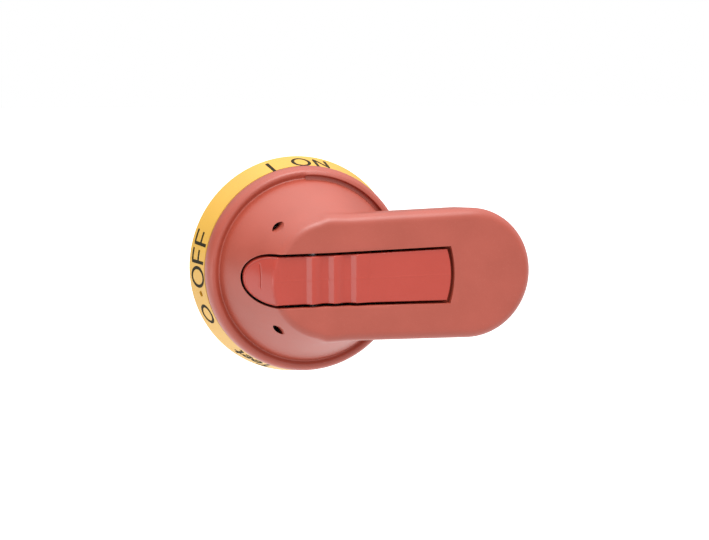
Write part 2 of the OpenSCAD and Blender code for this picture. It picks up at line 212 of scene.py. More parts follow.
def newMaterial(name, fixed):
    material = bpy.data.materials.new(name)
    material.use_nodes = True
    shader = material.node_tree.nodes["Principled BSDF"]
    for key, value in fixed.items():
        shader.inputs[key].default_value = value
    return material, Wire(material.node_tree)


def noise(wire, place, size, detail=3.0, rough=0.55):
    # fractal noise whose largest features are about size mm across, from Object coordinates in metres
    return wire.node("ShaderNodeTexNoise", {"noise_dimensions": "3D"},
                     {"Vector": place, "Scale": 1000.0 / size, "Detail": detail, "Roughness": rough})


def mixColour(wire, share, first, second):
    return wire.node("ShaderNodeMix", {"data_type": "RGBA"}, {0: share, 6: first, 7: second}, out=2)


def bump(wire, height, strength, depth):
    # height in 0..1 turned into a normal, with depth in mm
    return wire.node("ShaderNodeBump", {}, {"Height": height, "Strength": strength, "Distance": depth * mm})


# how noise shows in moulded plastic: where clouds and specks begin, how sharply they rise, and the bump
moulding = dict(cloudFrom=0.35, cloudGain=2.4, speckFrom=0.62, speckGain=6.0, grainDull=0.06,
                fineShare=0.7, coarseShare=0.5, coarseSize=6, bumpDepth=0.05)


def mouldedPlastic(name, look):
    # moulded plastic: cloudy pigment, fine spark-eroded grain, faint flow marks and a few dull rubs
    material, wire = newMaterial(name, {"IOR": 1.5, "Specular IOR Level": look["gloss"]})
    place = wire.node("ShaderNodeTexCoord", out="Object")
    cloud = noise(wire, place, look["cloudSize"], 4.0)
    grain = noise(wire, place, look["grainSize"], 2.0, 0.6)
    rubs = noise(wire, place, look["rubSize"], 5.0, 0.65)
    tone = ((cloud - moulding["cloudFrom"]) * moulding["cloudGain"]).clipped()
    colour = mixColour(wire, tone, look["deep"], look["pale"])
    speck = ((grain - moulding["speckFrom"]) * moulding["speckGain"]).clipped() * look["speck"]
    mixColour(wire, speck, colour, look["dust"]).feeds("Base Color")
    dull = look["roughness"] + (rubs - 0.5) * look["roughSpread"] + (grain - 0.5) * moulding["grainDull"]
    dull.feeds("Roughness")
    coarse = noise(wire, place, look["grainSize"] * moulding["coarseSize"], 3.0)
    height = grain * moulding["fineShare"] + coarse * moulding["coarseShare"]
    bump(wire, height, look["bump"], moulding["bumpDepth"]).feeds("Normal")
    return material


# how noise shows in metal: sizes in mm, where stains begin, and how much each part changes the gloss
drawing = dict(streakSize=1.2, stainSize=6.0, stainFrom=0.4, stainGain=2.0, streakDull=0.2, stainDull=0.1,
               bumpStrength=0.25, bumpDepth=0.02)


def metal(name, look):
    # turned or rolled metal: directional streaks and soft stains
    material, wire = newMaterial(name, {"Metallic": 1.0})
    place = wire.node("ShaderNodeTexCoord", out="Object")
    streakPlace = wire.node("ShaderNodeMapping", {}, {"Vector": place, "Scale": look["streaks"]})
    streak = noise(wire, streakPlace, drawing["streakSize"], 3.0)
    stain = noise(wire, place, drawing["stainSize"], 4.0)
    share = ((stain - drawing["stainFrom"]) * drawing["stainGain"]).clipped()
    mixColour(wire, share, look["dark"], look["light"]).feeds("Base Color")
    dull = look["roughness"] + (streak - 0.5) * drawing["streakDull"] + (stain - 0.5) * drawing["stainDull"]
    dull.feeds("Roughness")
    bump(wire, streak, drawing["bumpStrength"], drawing["bumpDepth"]).feeds("Normal")
    return material


# metres and degrees; a positive azimuth moves the camera towards +X
cameraSetup = dict(azimuth=-17.66, elevation=7.4, distance=0.4497, lens=69.4, sensor=36.0, near=0.01,
                   aim=(0.00462, -0.0027))
# the floor's glow is painted light that lights the object from below; the front settings paint that glow
# darker in front of the object
stageSetup = dict(floorBelow=0.09, floorSize=30.0, floorGlow=1.2, floorTone=0.25, floorDull=0.9,
                  frontDimmedGlow=0.42, frontFrom=-0.25, frontFade=0.3)
lightSetup = dict(skySide=0.32, skyAbove=2.4, skyFront=1.3, skyRight=1.1,
                  aboveSharp=2.2, frontSharp=6.0, rightSharp=5.0, aimAt=(0.015, -0.02, 0.0),
                  keyPower=2.8, keySize=0.36, keyHigh=0.36, keyPlace=(0.05, -0.33, 0.52),
                  fillPower=0.8, fillSize=0.5, fillHigh=0.12, fillPlace=(-0.565, -0.25, -0.075))


def buildCamera(setup):
    # the camera looks at a point of the door plane close to the middle of the object
    low, high = cadBox
    centre = (low + high) / 2
    aim = Vector((centre.x + setup["aim"][0], 0.0, centre.z + setup["aim"][1]))
    a, e = math.radians(setup["azimuth"]), math.radians(setup["elevation"])
    back = Vector((math.sin(a) * math.cos(e), -math.cos(a) * math.cos(e), math.sin(e)))
    data = bpy.data.cameras.new("camera")
    data.lens = setup["lens"]
    data.sensor_width = setup["sensor"]
    data.clip_start = setup["near"]
    camera = bpy.data.objects.new("camera", data)
    camera.location = aim + back * setup["distance"]
    camera.rotation_mode = "QUATERNION"
    camera.rotation_quaternion = (-back).to_track_quat("-Z", "Y")
    bpy.context.scene.collection.objects.link(camera)
    bpy.context.scene.camera = camera


def buildStage(setup):
    low = cadBox[0]
    half, level = setup["floorSize"] / 2, low.z - setup["floorBelow"]
    mesh = bpy.data.meshes.new("floor")
    mesh.from_pydata([(-half, -half, level), (half, -half, level), (half, half, level), (-half, half, level)],
                     [], [(0, 1, 2, 3)])
    floor = bpy.data.objects.new("floor", mesh)
    bpy.context.scene.collection.objects.link(floor)
    tone = setup["floorTone"]
    material, wire = newMaterial("studioFloor", {"Roughness": setup["floorDull"],
                                                 "Base Color": (tone, tone, tone, 1),
                                                 "Emission Strength": setup["floorGlow"]})
    # painted light: the floor glows to light the object from below, and its glow is painted darker between
    # the camera and the object than behind it
    place = wire.node("ShaderNodeTexCoord", out="Object")
    depth = wire.node("ShaderNodeSeparateXYZ", {}, {0: place}, out=1)
    front = setup["frontDimmedGlow"]
    share = ((depth - setup["frontFrom"]) / setup["frontFade"]).clipped()
    mixColour(wire, share, (front, front, front, 1), (1, 1, 1, 1)).feeds("Emission Color")
    floor.data.materials.append(material)


def buildLights(setup):
    world = bpy.data.worlds.new("studio")
    world.use_nodes = True
    bpy.context.scene.world = world
    tree = world.node_tree
    wire = Wire(tree)
    direction = wire.node("ShaderNodeTexCoord", out="Generated")
    height = wire.node("ShaderNodeSeparateXYZ", {}, {0: direction}, out=2).clipped()
    ahead = (wire.node("ShaderNodeSeparateXYZ", {}, {0: direction}, out=1) * -1.0).clipped()
    right = wire.node("ShaderNodeSeparateXYZ", {}, {0: direction}, out=0).clipped()
    glow = (setup["skySide"] + wire.math("POWER", right, setup["rightSharp"]) * setup["skyRight"]
            + wire.math("POWER", height, setup["aboveSharp"]) * setup["skyAbove"]
            + wire.math("POWER", ahead, setup["frontSharp"]) * setup["skyFront"])
    # the camera sees plain white behind the object, while the object is lit by the uneven glow
    seen = wire.node("ShaderNodeLightPath", out="Is Camera Ray")
    strength = glow * (1 - seen) + seen
    background = tree.nodes["Background"]
    background.inputs["Color"].default_value = (1, 1, 1, 1)
    tree.links.new(strength.socket, background.inputs["Strength"])
    for name in ("key", "fill"):
        lamp = bpy.data.lights.new(name, "AREA")
        lamp.energy = setup[name + "Power"]
        lamp.shape = "RECTANGLE"
        lamp.size, lamp.size_y = setup[name + "Size"], setup[name + "High"]
        light = bpy.data.objects.new(name, lamp)
        light.location = setup[name + "Place"]
        light.rotation_mode = "QUATERNION"
        light.rotation_quaternion = (Vector(setup["aimAt"]) - light.location).to_track_quat("-Z", "Y")
        bpy.context.scene.collection.objects.link(light)
    bpy.context.scene.view_settings.view_transform = "Standard"


buildCamera(cameraSetup)
buildStage(stageSetup)
buildLights(lightSetup)
print("camera, floor and lights are in place")


# the red handle in mm: a skirt, a cone with its crown, and a grip that widens to a round tip
shell = dict(
    skirtR=32.5, skirtLow=11.1, skirtInR=30.3, rimR=31.2, rimEase=0.15, shoulderLow=12.0, shoulderPower=0.95,
    footR=28.4, footH=17.0, coneFrom=19.2, crownR=17.5, topH=39.7, wall=2.3, crownFillet=1.5, crownSpread=1.1,
    gripLow=21.7, gripRoot=19.2, gripTip=20.4, tipX=45.1, gripFillet=3.3, backFillet=1.1, backTuck=0.2,
    draft=1.2, blend=1.8, cornerBlend=0.3,
    coverR=30.0, coverRoot=15.3, coverHalf=16.2, coverTipX=45.2, coverDepth=1.2,
    slotNose=8.05, slotTail=8.8, noseX=-16.25, tailX=38.1, tailBow=1.3, lip=0.25,
    slotEdge=((0.1, 0.04), (0.02, 0.13), (0.0, 0.28)), roof=2.5, noseFloor=20.5,
    innerFoot=((26.2, 15.6), (28.2, 13.7)), crease=32)
# columns crowd together where the outline turns: (angle, width, gain) on both sides of the grip's axis
columns = dict(count=620, tip=(0.45, 0.8), nose=(0.25, 0.8), cornerWidth=0.05, cornerGain=3.0,
               turns=((1.05, 0.28, 0.8), (2.31, 0.14, 1.6), (2.85, 0.2, 0.8)))
# the groove inside the skirt is soft on one side and has crisp walls from the mould joint onwards
groove = dict(
    soft=[(30.4, 16.4), (29.9, 16.3), (29.4, 16.0), (29.0, 15.75), (28.7, 15.8), (28.45, 16.2), (28.2, 16.95),
          (27.9, 17.85), (27.5, 18.8)],
    crisp=[(30.3, 16.5), (30.0, 16.55), (29.8, 16.4), (29.72, 15.8), (29.4, 15.55), (28.6, 15.55),
           (28.3, 15.8), (27.95, 17.7), (27.75, 18.3)],
    steps=22, crispFrom=92.7, crispRise=0.5, crispTo=8.0, crispFade=12)
coneSlope = (shell["footR"] - shell["crownR"]) / (shell["topH"] - shell["footH"])
draftSlope = shell["draft"] / (shell["topH"] - shell["gripLow"])


def coneRadius(h):
    return shell["crownR"] + (shell["topH"] - h) * coneSlope


def coneHeight(r):
    return shell["topH"] - (r - shell["crownR"]) / coneSlope


def stadiumRadius(phi, root, tip, tipX):
    # polar radius of a bar that starts round the axis, widens from root to tip and ends in a half circle
    a = np.abs(phi)
    slope = (tip - root) / tipX
    edge = root / np.maximum(np.sin(a) - slope * np.cos(a), 1e-3)
    inside = np.maximum(tip ** 2 - (tipX * np.sin(a)) ** 2, 0)
    arc = tipX * np.cos(a) + np.sqrt(inside)
    side = np.where(edge * np.cos(a) < tipX, edge, arc)
    behind = root * (1 - shell["backTuck"] * smoothStep((np.degrees(a) - 90) / 25))
    return np.where(np.degrees(a) > 90, behind, side)


def slotRadius(phi, inset):
    # polar radius of the slot: round nose, sides that open slightly, bowed tail
    nose, tail = shell["slotNose"] - inset, shell["slotTail"] - inset
    endX = shell["tailX"] - inset
    slope = (tail - nose) / endX
    a = np.abs(phi)
    up = np.maximum(np.sin(a) - slope * np.maximum(np.cos(a), 0), 1e-4)
    side = nose / up
    bowR = (tail ** 2 + shell["tailBow"] ** 2) / (2 * shell["tailBow"])
    bowX = endX + shell["tailBow"] - bowR
    tailArc = bowX * np.cos(a) + np.sqrt(np.maximum(bowR ** 2 - (bowX * np.sin(a)) ** 2, 0))
    noseX = shell["noseX"]
    noseArc = noseX * np.cos(a) + np.sqrt(np.maximum(nose ** 2 - (noseX * np.sin(a)) ** 2, 0))
    ahead = np.minimum(side, tailArc)
    behind = np.where(side * np.cos(a) > noseX, side, noseArc)
    return np.where(np.cos(a) > 0, ahead, behind)


def columnAngles(count):
    # angles round the axis, closer together at the tip, the slot's corners, the junctions and the nose
    fine = np.linspace(-np.pi, np.pi, 7201)
    corner = math.atan2(shell["slotTail"], shell["tailX"])
    width, gain = columns["tip"]
    weight = 1.0 + gain * np.exp(-(fine / width) ** 2)
    for centre, width, gain in ((corner, columns["cornerWidth"], columns["cornerGain"]), *columns["turns"]):
        for sign in (-1, 1):
            weight += gain * np.exp(-((fine - sign * centre) / width) ** 2)
    width, gain = columns["nose"]
    weight += gain * np.exp(-((np.abs(fine) - np.pi) / width) ** 2)
    total = np.concatenate([[0], np.cumsum((weight[1:] + weight[:-1]) / 2)])
    phi = np.interp(np.linspace(0, total[-1], count + 1)[:-1], total, fine)
    for sign in (-1, 1):
        phi[np.argmin(np.abs(phi - sign * corner))] = sign * corner
    return phi


def bodyRadius(phi, h, inset, coneInset, blend):
    # outer outline at height h: the larger of the cone and the grip, with a soft concave join
    draft = draftSlope * (shell["topH"] - h)
    cone = coneRadius(h) - coneInset
    root, tip = shell["gripRoot"] - inset - draft, shell["gripTip"] - inset - draft
    grip = stadiumRadius(phi, root, tip, shell["tipX"])
    return smoothMax(cone + 0 * phi, grip, blend)


def buildShell():
    phi = columnAngles(columns["count"])
    flat = 0 * phi
    top, low = shell["topH"], shell["gripLow"]
    slot = slotRadius(phi, 0)
    rows = []

    def ring(r, h):
        rows.append((r + flat, h + flat))

    # skirt, shoulder, groove and foot of the cone
    ring(shell["rimR"], shell["skirtLow"])
    ring(shell["skirtR"] - shell["rimEase"], shell["skirtLow"])
    degrees = np.degrees(phi)
    crisp = (smoothStep((groove["crispFrom"] - degrees) / groove["crispRise"])
             * smoothStep((degrees - groove["crispTo"]) / groove["crispFade"]))
    soft, hard = curveThrough(groove["soft"], groove["steps"]), curveThrough(groove["crisp"], groove["steps"])
    crestR = soft[0, 0] + (hard[0, 0] - soft[0, 0]) * crisp
    shoulder, power = shell["shoulderLow"], shell["shoulderPower"]
    for t in np.linspace(0, np.pi / 2, 14)[:-1]:
        ring(crestR + (shell["skirtR"] - crestR) * math.cos(t) ** power,
             shoulder + (soft[0, 1] - shoulder) * math.sin(t) ** power)
    for a, b in zip(soft, hard):
        ring(a[0] + (b[0] - a[0]) * crisp, a[1] + (b[1] - a[1]) * crisp)
    for h in np.linspace(shell["coneFrom"], low, 4):
        ring(coneRadius(h), h)
    coneRows = len(rows)

    # underside of the grip, with the rebate for its back cover
    inner = coneRadius(low) + flat
    outer = np.maximum(bodyRadius(phi, low, shell["backFillet"], 0, shell["cornerBlend"]), inner)
    cover = stadiumRadius(phi, shell["coverRoot"], shell["coverHalf"], shell["coverTipX"])
    first = np.clip(shell["coverR"] + flat, inner, outer)
    last = np.clip(cover, first, outer)
    depth = np.where(last - first > 0.05, shell["coverDepth"], 0)
    for share in (0.5, 1.0):
        ring(inner + (first - inner) * share, low)
    ring(first, low + depth)
    for share in (0.35, 0.7, 1.0):
        ring(first + (last - first) * share, low + depth)
    ring(last, low)
    ring((last + outer) / 2, low)
    for t in np.linspace(0, np.pi / 2, 6):
        inset = shell["backFillet"] * (1 - math.sin(t))
        h = low + shell["backFillet"] * (1 - math.cos(t))
        ring(bodyRadius(phi, h, inset, 0, shell["blend"]), h)

    # side of the grip and of the cone, then the rounded edge of the top face
    fillet = shell["gripFillet"]
    for h in np.linspace(low + shell["backFillet"], top - fillet, 22)[1:]:
        ring(bodyRadius(phi, h, 0, 0, shell["blend"]), h)
    for t in np.linspace(0, np.pi / 2, 12)[1:]:
        h = top - fillet * (1 - math.sin(t))
        rise = max(h - (top - shell["crownFillet"]), 0)
        crownInset = shell["crownFillet"] - math.sqrt(shell["crownFillet"] ** 2 - rise ** 2)
        crownInset *= shell["crownSpread"]
        ring(bodyRadius(phi, h, fillet * (1 - math.cos(t)), crownInset, shell["blend"]), h)
    rim = rows[-1][0]
    for share in np.linspace(0, 1, 9)[1:]:
        ring(rim + (slot + shell["lip"] - rim) * share, top)

    # where the slot's nose leaves the top face its edge lies on the cone
    def surfaceAt(r):
        return np.minimum(coneHeight(r), top)

    limit = slot + shell["lip"]
    onTop = limit < rim
    for k, (r, h) in enumerate(rows[coneRows:], coneRows):
        hit = (r < limit + 1e-6) & ~onTop
        rows[k] = (np.where(hit, limit, r), np.where(hit, np.minimum(surfaceAt(limit), h), h))
    for away, drop in shell["slotEdge"]:
        edge = np.where(onTop, top, surfaceAt(slot + away))
        ring(slot + away, edge - drop)

    # wall of the slot, then the inside back down to the skirt
    wall = shell["wall"]
    across = wall * math.sqrt(1 + coneSlope ** 2)
    ceiling = top - shell["roof"]
    underNose = np.minimum(surfaceAt(slot) - wall / math.sin(math.atan(coneSlope)) * 1.02, ceiling)
    inside = np.where(onTop, ceiling, np.maximum(underNose, shell["noseFloor"]))
    ring(slot, (rows[-1][1] + inside) / 2)
    ring(slot, inside)

    def innerRing(r, h):
        hit = r + flat < slot
        ring(np.where(hit, slot, r + flat), np.where(hit, inside, h))

    def innerBar(h):
        thin = wall + draftSlope * (top - h)
        return stadiumRadius(phi, shell["gripRoot"] - thin, shell["gripTip"] - thin, shell["tipX"])

    innerTop = np.maximum(coneRadius(ceiling) - across, innerBar(ceiling))
    for share in (0.5, 1.0):
        innerRing(slot + (innerTop - slot) * share, ceiling)
    for h in np.linspace(ceiling, low + wall, 8)[1:]:
        innerRing(np.maximum(coneRadius(h) - across, innerBar(h)), h)
    for h in np.linspace(low + wall, shell["footH"], 4):
        innerRing(coneRadius(h) - across, h)
    for r, h in shell["innerFoot"]:
        ring(r, h)
    ring(shell["skirtInR"], shell["skirtLow"] + 2.1)
    ring(shell["skirtInR"], shell["skirtLow"])

    r = np.stack([row[0] for row in rows])
    h = np.stack([row[1] for row in rows])
    points = toFrame(r * np.cos(phi), r * np.sin(phi), h)
    return gridPiece("shellSkin", points, True, True, shell["crease"])


# the two slots over the releases: (height from the cone's surface, growth) rows give them a soft rim
access = dict(angle=132.5, at=21.2, long=4.0, wide=1.4, low=22.0, pinch=0.25,
              flare=((-0.9, 0), (-0.3, 0.06), (0.5, 0.3), (4.0, 0.5)))


def slotCutter(sign):
    # an upright oval prism, a little wider near the cone's surface so that its rim is soft
    turn = math.radians(access["angle"]) * sign
    t = np.linspace(0, 2 * np.pi, 40, endpoint=False)
    surface = coneHeight(access["at"])
    rows = []
    for h, grow in [(access["low"], 0)] + [(surface + rise, grow) for rise, grow in access["flare"]]:
        a = (access["long"] / 2 + grow) * np.cos(t)
        b = (access["wide"] / 2 + grow) * np.sin(t) * (1 - access["pinch"] * np.cos(t) ** 2)
        r, side = access["at"] + b, a
        x, y = r * math.cos(turn) - side * math.sin(turn), r * math.sin(turn) + side * math.cos(turn)
        rows.append(toFrame(x, y, h))
    rows = np.stack(rows)
    ends = np.repeat(rows.mean(axis=1, keepdims=True), len(t), axis=1)
    return gridPiece("cutter", np.concatenate([ends[:1], rows, ends[-1:]]), False, True)


def cutAway(piece, cutter):
    # takes the cutter's shape out of the piece, applies it and throws the cutter away
    cut = piece.modifiers.new("cut", "BOOLEAN")
    cut.operation, cut.solver, cut.object = "DIFFERENCE", "EXACT", cutter
    bpy.context.view_layer.objects.active = piece
    bpy.ops.object.modifier_apply(modifier="cut")
    bpy.data.objects.remove(cutter, do_unlink=True)


shellSkin = buildShell()
for sign in (1, -1):
    cutAway(shellSkin, slotCutter(sign))
shellSkin.data.set_sharp_from_angle(angle=math.radians(shell["crease"]))
print("handle shell has", len(shellSkin.data.polygons), "faces")
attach(shellSkin, "handle")
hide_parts("handle_shell")

# the clasp that a padlock holds up: a plate with scoop, ribs and tail, a keel with the shackle
# window, a barrel on the pin and a foot for the bolt; scoop points are (x, height)
clasp = dict(
    gap=0.88, noseX=-16.5, edge=0.3, face=39.05, ridge=39.95, noseDrop=0.12, coneTo=-10.0, coneJoin=0.3,
    scoop=[(-24.0, 43.2), (-18.6, 40.1), (-17.7, 39.65), (-17.0, 39.3), (-15.4, 38.95), (-13.0, 38.75),
           (-10.0, 38.65)],
    ribStarts=(-7.4, -0.6, 6.4), ribRise=1.45, ribCrest=0.35, ribFall=5.6, valley=38.6, soften=0.16,
    ribsEnd=14.0, flatFrom=12.5, faceEnd=45.0, bowFrom=30.0, bowOver=8.0,
    lineX=-20.1, lineY=1.2, lineHalf=4.0, lineDeep=0.45, lineWide=0.12, lineFade=0.7,
    partingHigh=0.045, partingWide=0.12, partingFrom=-17.0,
    plateTop=35.4, plateLow=36.5, thickLow=35.0, stepX=12.0, noseLow=25.5, noseThick=5.6,
    keelX=(9.2, 36.4), keelHalf=4.4, keelLow=25.4, keelTop=38.0, keelCorner=1.2,
    windowX=(17.0, 34.0), windowH=(27.7, 36.3), windowCorner=1.6, keelEdge=0.4,
    pivot=(-4.0, 33.0), pinR=1.56, barrelR=3.1, barrelHalf=3.45, neckHalf=2.3, neckClear=0.4, barEdge=0.3,
    foot=dict(x=-13.0, h=31.5, r=1.5, half=2.45))


def scoopAndRibs(x):
    # height of the clasp's face along its middle: scoop, then saw-tooth ribs with soft edges, then flat
    knots = list(clasp["scoop"])
    ridge, rise = clasp["ridge"], clasp["ribRise"]
    for k, start in enumerate(clasp["ribStarts"]):
        last = k == len(clasp["ribStarts"]) - 1
        low, end = (clasp["face"], clasp["flatFrom"]) if last else (clasp["valley"], start + clasp["ribFall"])
        knots += [(start - 0.4, clasp["valley"]), (start, clasp["valley"] + 0.03)]
        knots.append((start + rise, ridge - 0.05))
        crest = start + rise + clasp["ribCrest"]
        for u in np.linspace(0, 1, 9):
            knots.append((crest + (end - crest) * u, ridge - (ridge - low) * (u if last else smoothStep(u))))
    knots = np.array(knots + [(clasp["faceEnd"], clasp["face"])])
    fine = np.linspace(knots[0, 0], clasp["faceEnd"], 3451)
    rough = np.interp(fine, knots[:, 0], knots[:, 1])
    bell = np.exp(-(np.linspace(-0.6, 0.6, 61) / clasp["soften"]) ** 2)
    soft = np.convolve(np.pad(rough, 30, mode="edge"), bell / bell.sum(), mode="valid")
    return np.interp(x, fine, soft)


def claspHeight(x, y):
    # the lower of the cone and the scoop, softly joined, with the engraved line and a faint parting line
    r = np.hypot(x, y)
    cone = coneHeight(r) - clasp["noseDrop"]
    face = scoopAndRibs(x)
    h = np.where(x < clasp["coneTo"], -smoothMax(-cone, -face, clasp["coneJoin"]), face)
    along = smoothStep((clasp["lineHalf"] - np.abs(y - clasp["lineY"])) / clasp["lineFade"])
    h = h - clasp["lineDeep"] * np.exp(-((x - clasp["lineX"]) / clasp["lineWide"]) ** 2) * along
    return h + clasp["partingHigh"] * np.exp(-(y / clasp["partingWide"]) ** 2) * (x > clasp["partingFrom"])


def claspOutline(count):
    # x places along the clasp, close together at the round nose, the engraved line and the ribs
    noseX, noseR = clasp["noseX"], shell["slotNose"] - clasp["gap"]
    line = clasp["lineX"] + np.linspace(-0.4, 0.4, 11)
    nose = np.sort(np.concatenate([noseX - noseR * np.cos(np.linspace(0, np.pi / 2, 26)), line]))
    ribs = np.linspace(noseX, clasp["ribsEnd"], count)[1:]
    tail = np.linspace(clasp["ribsEnd"], shell["tailX"] - clasp["gap"], 40)[1:]
    return np.concatenate([nose, ribs, tail])


def halfWidth(x, inset):
    # half the width of the slot's outline at x, when it's cut back by inset
    nose, tail = shell["slotNose"] - inset, shell["slotTail"] - inset
    side = nose + (tail - nose) * np.maximum(x, 0) / (shell["tailX"] - inset)
    return np.where(x < clasp["noseX"], np.sqrt(np.maximum(nose ** 2 - (x - clasp["noseX"]) ** 2, 0)), side)


def claspRing(inset, count, across):
    # the clasp's outline as a closed ring: upper side, bowed tail, lower side
    x0 = claspOutline(count)
    low, high = x0[0], x0[-1]
    noseTip, tailEnd = clasp["noseX"] - (shell["slotNose"] - inset), shell["tailX"] - inset
    x = noseTip + (x0 - low) * (tailEnd - noseTip) / (high - low)
    w = halfWidth(x, inset)
    v = np.linspace(1, -1, across)[1:-1]
    bow = shell["tailBow"] * (1 - v ** 2)
    xs = np.concatenate([x, tailEnd + bow, x[::-1][:-1]])
    ys = np.concatenate([w, v * w[-1], -w[::-1][:-1]])
    return xs, ys


def buildClaspPlate():
    count, across, bowFrom = 300, 71, clasp["bowFrom"]
    inner = clasp["gap"] + clasp["edge"]
    x0, w0 = claspRing(inner, count, across)
    places = len(claspOutline(count))
    x, w = x0[:places], w0[:places]
    v = np.linspace(1, -1, across)
    gx = x[:, None] + shell["tailBow"] * (1 - v ** 2) * smoothStep((x[:, None] - bowFrom) / (x[-1] - bowFrom))
    gy = w[:, None] * v
    top = gridPiece("claspTop", toFrame(gx, gy, claspHeight(gx, gy)), False, False, 85)

    rings = []
    for t in np.linspace(0, np.pi / 2, 6):
        inset = clasp["gap"] + clasp["edge"] * (1 - math.sin(t))
        xs, ys = claspRing(inset, count, across)
        rings.append((xs, ys, claspHeight(x0, w0) - clasp["edge"] * (1 - math.cos(t))))
    xs, ys = claspRing(clasp["gap"], count, across)
    under = claspUnder(xs, ys)
    rings.append((xs, ys, (rings[-1][2] + under) / 2))
    rings.append((xs, ys, under))
    side = gridPiece("claspSide", np.stack([toFrame(*ring) for ring in rings]), False, True)

    bx, by = xs[:places][:, None], ys[:places][:, None] * v
    bx = bx + shell["tailBow"] * (1 - v ** 2) * smoothStep((bx - bowFrom) / clasp["bowOver"])
    bx[-1] = np.concatenate([[xs[places - 1]], xs[places:places + across - 2], [xs[places - 1]]])
    bottom = gridPiece("claspBottom", toFrame(bx, by, claspUnder(bx, by)), False, False)
    return joinPieces("claspPlate", [top, side, bottom])


def claspUnder(x, y):
    # underside: parallel to the cone at the nose, level behind it, thinner at the tail
    r = np.hypot(x, y)
    nose = np.maximum(coneHeight(r) - clasp["noseThick"], clasp["noseLow"])
    level = np.where(x < clasp["stepX"], clasp["thickLow"], clasp["plateLow"])
    return np.where(x < clasp["coneTo"], np.minimum(nose, level), level)


def claspBody():
    # keel with its window, barrel with its neck, and the foot that pushes the bolt
    keel = frameRound("keel", clasp["keelX"], (clasp["keelLow"], clasp["keelTop"]), clasp["windowX"],
                      clasp["windowH"], clasp["keelHalf"])
    (px, ph), half, top = clasp["pivot"], clasp["barrelHalf"], clasp["plateTop"]
    barrel = barAcross("barrel", px, ph, clasp["barrelR"], clasp["pinR"], half)
    neck = blockPiece("barrelNeck", (px - clasp["neckHalf"], -half, ph + clasp["pinR"] + clasp["neckClear"]),
                      (px + clasp["neckHalf"], half, top))
    foot = clasp["foot"]
    tip = barAcross("footTip", foot["x"], foot["h"], foot["r"], 0.0, foot["half"])
    leg = blockPiece("foot", (foot["x"] - foot["r"], -foot["half"], foot["h"]),
                     (foot["x"] + foot["r"], foot["half"], top))
    return [keel, barrel, tip, leg, neck]


def roundedBox(x, h, grow, corner, count):
    # closed outline of a rectangle grown by grow, with round corners, as (x, h) points
    angle = np.linspace(0, 2 * np.pi, count, endpoint=False) + 0.01
    cx, cy = (x[0] + x[1]) / 2, (h[0] + h[1]) / 2
    ax, ay = (x[1] - x[0]) / 2 + grow, (h[1] - h[0]) / 2 + grow
    c = min(corner, ax, ay)
    reach = np.stack([np.cos(angle), np.sin(angle)], axis=1)
    scale = np.minimum(ax / np.maximum(np.abs(reach[:, 0]), 1e-9), ay / np.maximum(np.abs(reach[:, 1]), 1e-9))
    p = reach * scale[:, None]
    q = np.clip(p, [-(ax - c), -(ay - c)], [ax - c, ay - c])
    d = p - q
    length = np.maximum(np.linalg.norm(d, axis=1), 1e-9)
    p = np.where(((np.abs(d) > 1e-9).all(axis=1))[:, None], q + d / length[:, None] * c, p)
    return p[:, 0] + cx, p[:, 1] + cy


def frameRound(name, x, h, windowX, windowH, half):
    # a plate on edge with a window: outer outline, rounded edges, inner outline, closed into a loop
    count, soft, outer, inner = 96, clasp["keelEdge"], clasp["keelCorner"], clasp["windowCorner"]
    rows = []
    steps = np.linspace(0, np.pi / 2, 5)
    for t in steps:
        a, b = roundedBox(x, h, -soft * (1 - math.sin(t)), outer, count)
        rows.append((a, half - soft * (1 - math.cos(t)), b))
    for t in steps[::-1]:
        a, b = roundedBox(x, h, -soft * (1 - math.sin(t)), outer, count)
        rows.append((a, -half + soft * (1 - math.cos(t)), b))
    for t in steps:
        a, b = roundedBox(windowX, windowH, soft * (1 - math.sin(t)), inner, count)
        rows.append((a, -half + soft * (1 - math.cos(t)), b))
    for t in steps[::-1]:
        a, b = roundedBox(windowX, windowH, soft * (1 - math.sin(t)), inner, count)
        rows.append((a, half - soft * (1 - math.cos(t)), b))
    points = np.stack([toFrame(a, y + 0 * a, b) for a, y, b in rows])
    return gridPiece(name, points, True, True)


def barAcross(name, x, h, outer, inner, half):
    # a round bar or tube whose axis runs up the door through (x, h), with softened ends
    soft = clasp["barEdge"]
    angle = np.linspace(0, 2 * np.pi, 48, endpoint=False)
    outline = [(outer - soft, -half), (outer, -half + soft), (outer, half - soft), (outer - soft, half)]
    if inner:
        outline += [(inner, half), (inner, -half)]
    else:
        outline = [(0, -half)] + outline + [(0, half)]
    rows = [toFrame(x + r * np.cos(angle), y + 0 * angle, h + r * np.sin(angle)) for r, y in outline]
    return gridPiece(name, np.stack(rows), bool(inner), True)


claspSkin = joinPieces("claspSkin", [buildClaspPlate()] + claspBody())
print("clasp has", len(claspSkin.data.polygons), "faces")
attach(claspSkin, "clasp")
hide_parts("padlock_clasp")

# the legend, printed on the dial's conical side; angles run anticlockwise from the grip
dial = dict(outR=35.0, topR=32.5, high=10.8, midR=33.8)
legend = dict(stroke=1.04, proud=0.03, sunk=0.12)


def ovalStroke(angle, h, halfAngle, halfHeight):
    t = np.linspace(0, 2 * np.pi, 49)
    return np.stack([angle + halfAngle * np.cos(t), h + halfHeight * np.sin(t)], axis=1)


def lineStroke(*points):
    # straight strokes, each split into short steps so that they follow the cone
    points = np.array(points, float)
    legs = [np.linspace(a, b, 9)[:-1] for a, b in zip(points[:-1], points[1:])]
    return np.concatenate(legs + [points[-1:]])


